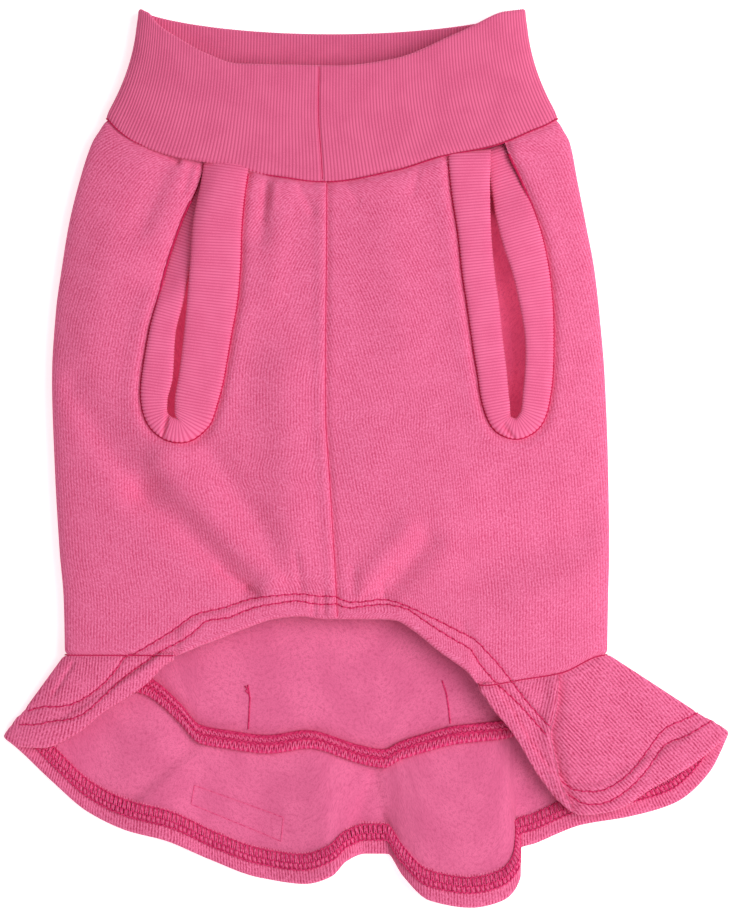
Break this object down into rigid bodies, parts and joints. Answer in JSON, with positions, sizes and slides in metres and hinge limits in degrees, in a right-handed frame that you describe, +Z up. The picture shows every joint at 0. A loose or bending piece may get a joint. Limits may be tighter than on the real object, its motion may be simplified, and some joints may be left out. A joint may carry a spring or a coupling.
{
  "type": "dog dress",
  "caption": "Fleece-backed jersey dress for a small dog, lying flat on its back: ribbed neck band, body tube, banded leg openings, cut-away belly edge and flared skirt.",
  "frame": {"origin": "on the underside of the back, on the centre line, level with the lower end of the leg openings", "axes": "+Y runs to the neck, +Z up through the belly side, +X to the right as seen from above with the neck at the top"},
  "size_m": [0.2616, 0.3231, 0.0152],
  "materials": {
    "jersey": "pink fleece-backed cotton jersey, fine vertical wales outside and a soft brushed inside",
    "rib_knit": "pink one-by-one rib knit, folded double",
    "overlock_thread": "dark pink overlock thread over a trimmed seam edge"
  },
  "bodies": {
    "root": {"body": "jersey", "neck_band": "rib_knit", "leg_band_left": "rib_knit", "leg_band_right": "rib_knit", "skirt": "jersey", "skirt_seam_allowance": "overlock_thread"}
  },
  "joints": []
}
